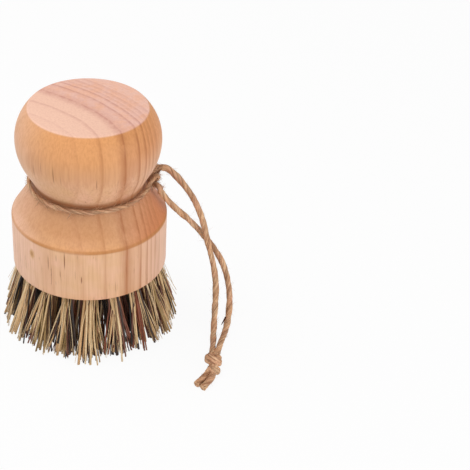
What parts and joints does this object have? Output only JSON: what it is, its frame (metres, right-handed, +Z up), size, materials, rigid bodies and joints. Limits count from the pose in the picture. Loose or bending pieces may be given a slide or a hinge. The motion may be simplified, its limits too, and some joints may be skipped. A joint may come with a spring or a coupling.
{
  "type": "palm brush",
  "caption": "Round wooden palm brush for pots: turned knob handle on a drum base, stapled tufts of plant fibre below, and a jute loop hitched round the neck to hang it by.",
  "frame": {"origin": "on the turning axis, at the plane that the fibre tips stand on", "axes": "+Z up along the turning axis towards the crown; -Y towards the picture's viewer; the hitch of the twine is on the +X side"},
  "size_m": [0.0836, 0.0801, 0.0864],
  "materials": {
    "handle_wood": "sanded, lightly oiled pale timber with straight grain",
    "plant_fibre": "stiff mixed plant fibre, straw to dark brown",
    "staple_wire": "drawn flat wire",
    "jute_twine": "plied, hairy jute"
  },
  "bodies": {
    "brush": {"handle_base": "handle_wood", "handle_knob": "handle_wood", "tuft_centre_01": "plant_fibre", "tuft_inner_01": "plant_fibre", "tuft_inner_02": "plant_fibre", "tuft_inner_03": "plant_fibre", "tuft_inner_04": "plant_fibre", "tuft_inner_05": "plant_fibre", "tuft_inner_06": "plant_fibre", "tuft_middle_01": "plant_fibre", "tuft_middle_02": "plant_fibre", "tuft_middle_03": "plant_fibre", "tuft_middle_04": "plant_fibre", "tuft_middle_05": "plant_fibre", "tuft_middle_06": "plant_fibre", "tuft_middle_07": "plant_fibre", "tuft_middle_08": "plant_fibre", "tuft_middle_09": "plant_fibre", "tuft_middle_10": "plant_fibre", "tuft_middle_11": "plant_fibre", "tuft_middle_12": "plant_fibre", "tuft_outer_01": "plant_fibre", "tuft_outer_02": "plant_fibre", "tuft_outer_03": "plant_fibre", "tuft_outer_04": "plant_fibre", "tuft_outer_05": "plant_fibre", "tuft_outer_06": "plant_fibre", "tuft_outer_07": "plant_fibre", "tuft_outer_08": "plant_fibre", "tuft_outer_09": "plant_fibre", "tuft_outer_10": "plant_fibre", "tuft_outer_11": "plant_fibre", "tuft_outer_12": "plant_fibre", "tuft_outer_13": "plant_fibre", "tuft_outer_14": "plant_fibre", "tuft_outer_15": "plant_fibre", "tuft_outer_16": "plant_fibre", "tuft_outer_17": "plant_fibre", "tuft_outer_18": "plant_fibre", "tuft_staples_centre": "staple_wire", "tuft_staples_inner": "staple_wire", "tuft_staples_middle": "staple_wire", "tuft_staples_outer": "staple_wire"},
    "hang_loop": {"neck_winding": "jute_twine", "loop_strand_upper": "jute_twine", "loop_strand_lower": "jute_twine", "end_knot": "jute_twine", "loop_tail_left": "jute_twine", "loop_tail_right": "jute_twine"}
  },
  "joints": [
    {"name": "loop_turn", "type": "hinge", "parent": "brush", "child": "hang_loop", "pos_m": [0, 0, 0.0573], "axis": [0, 0, 1], "continuous": true}
  ]
}
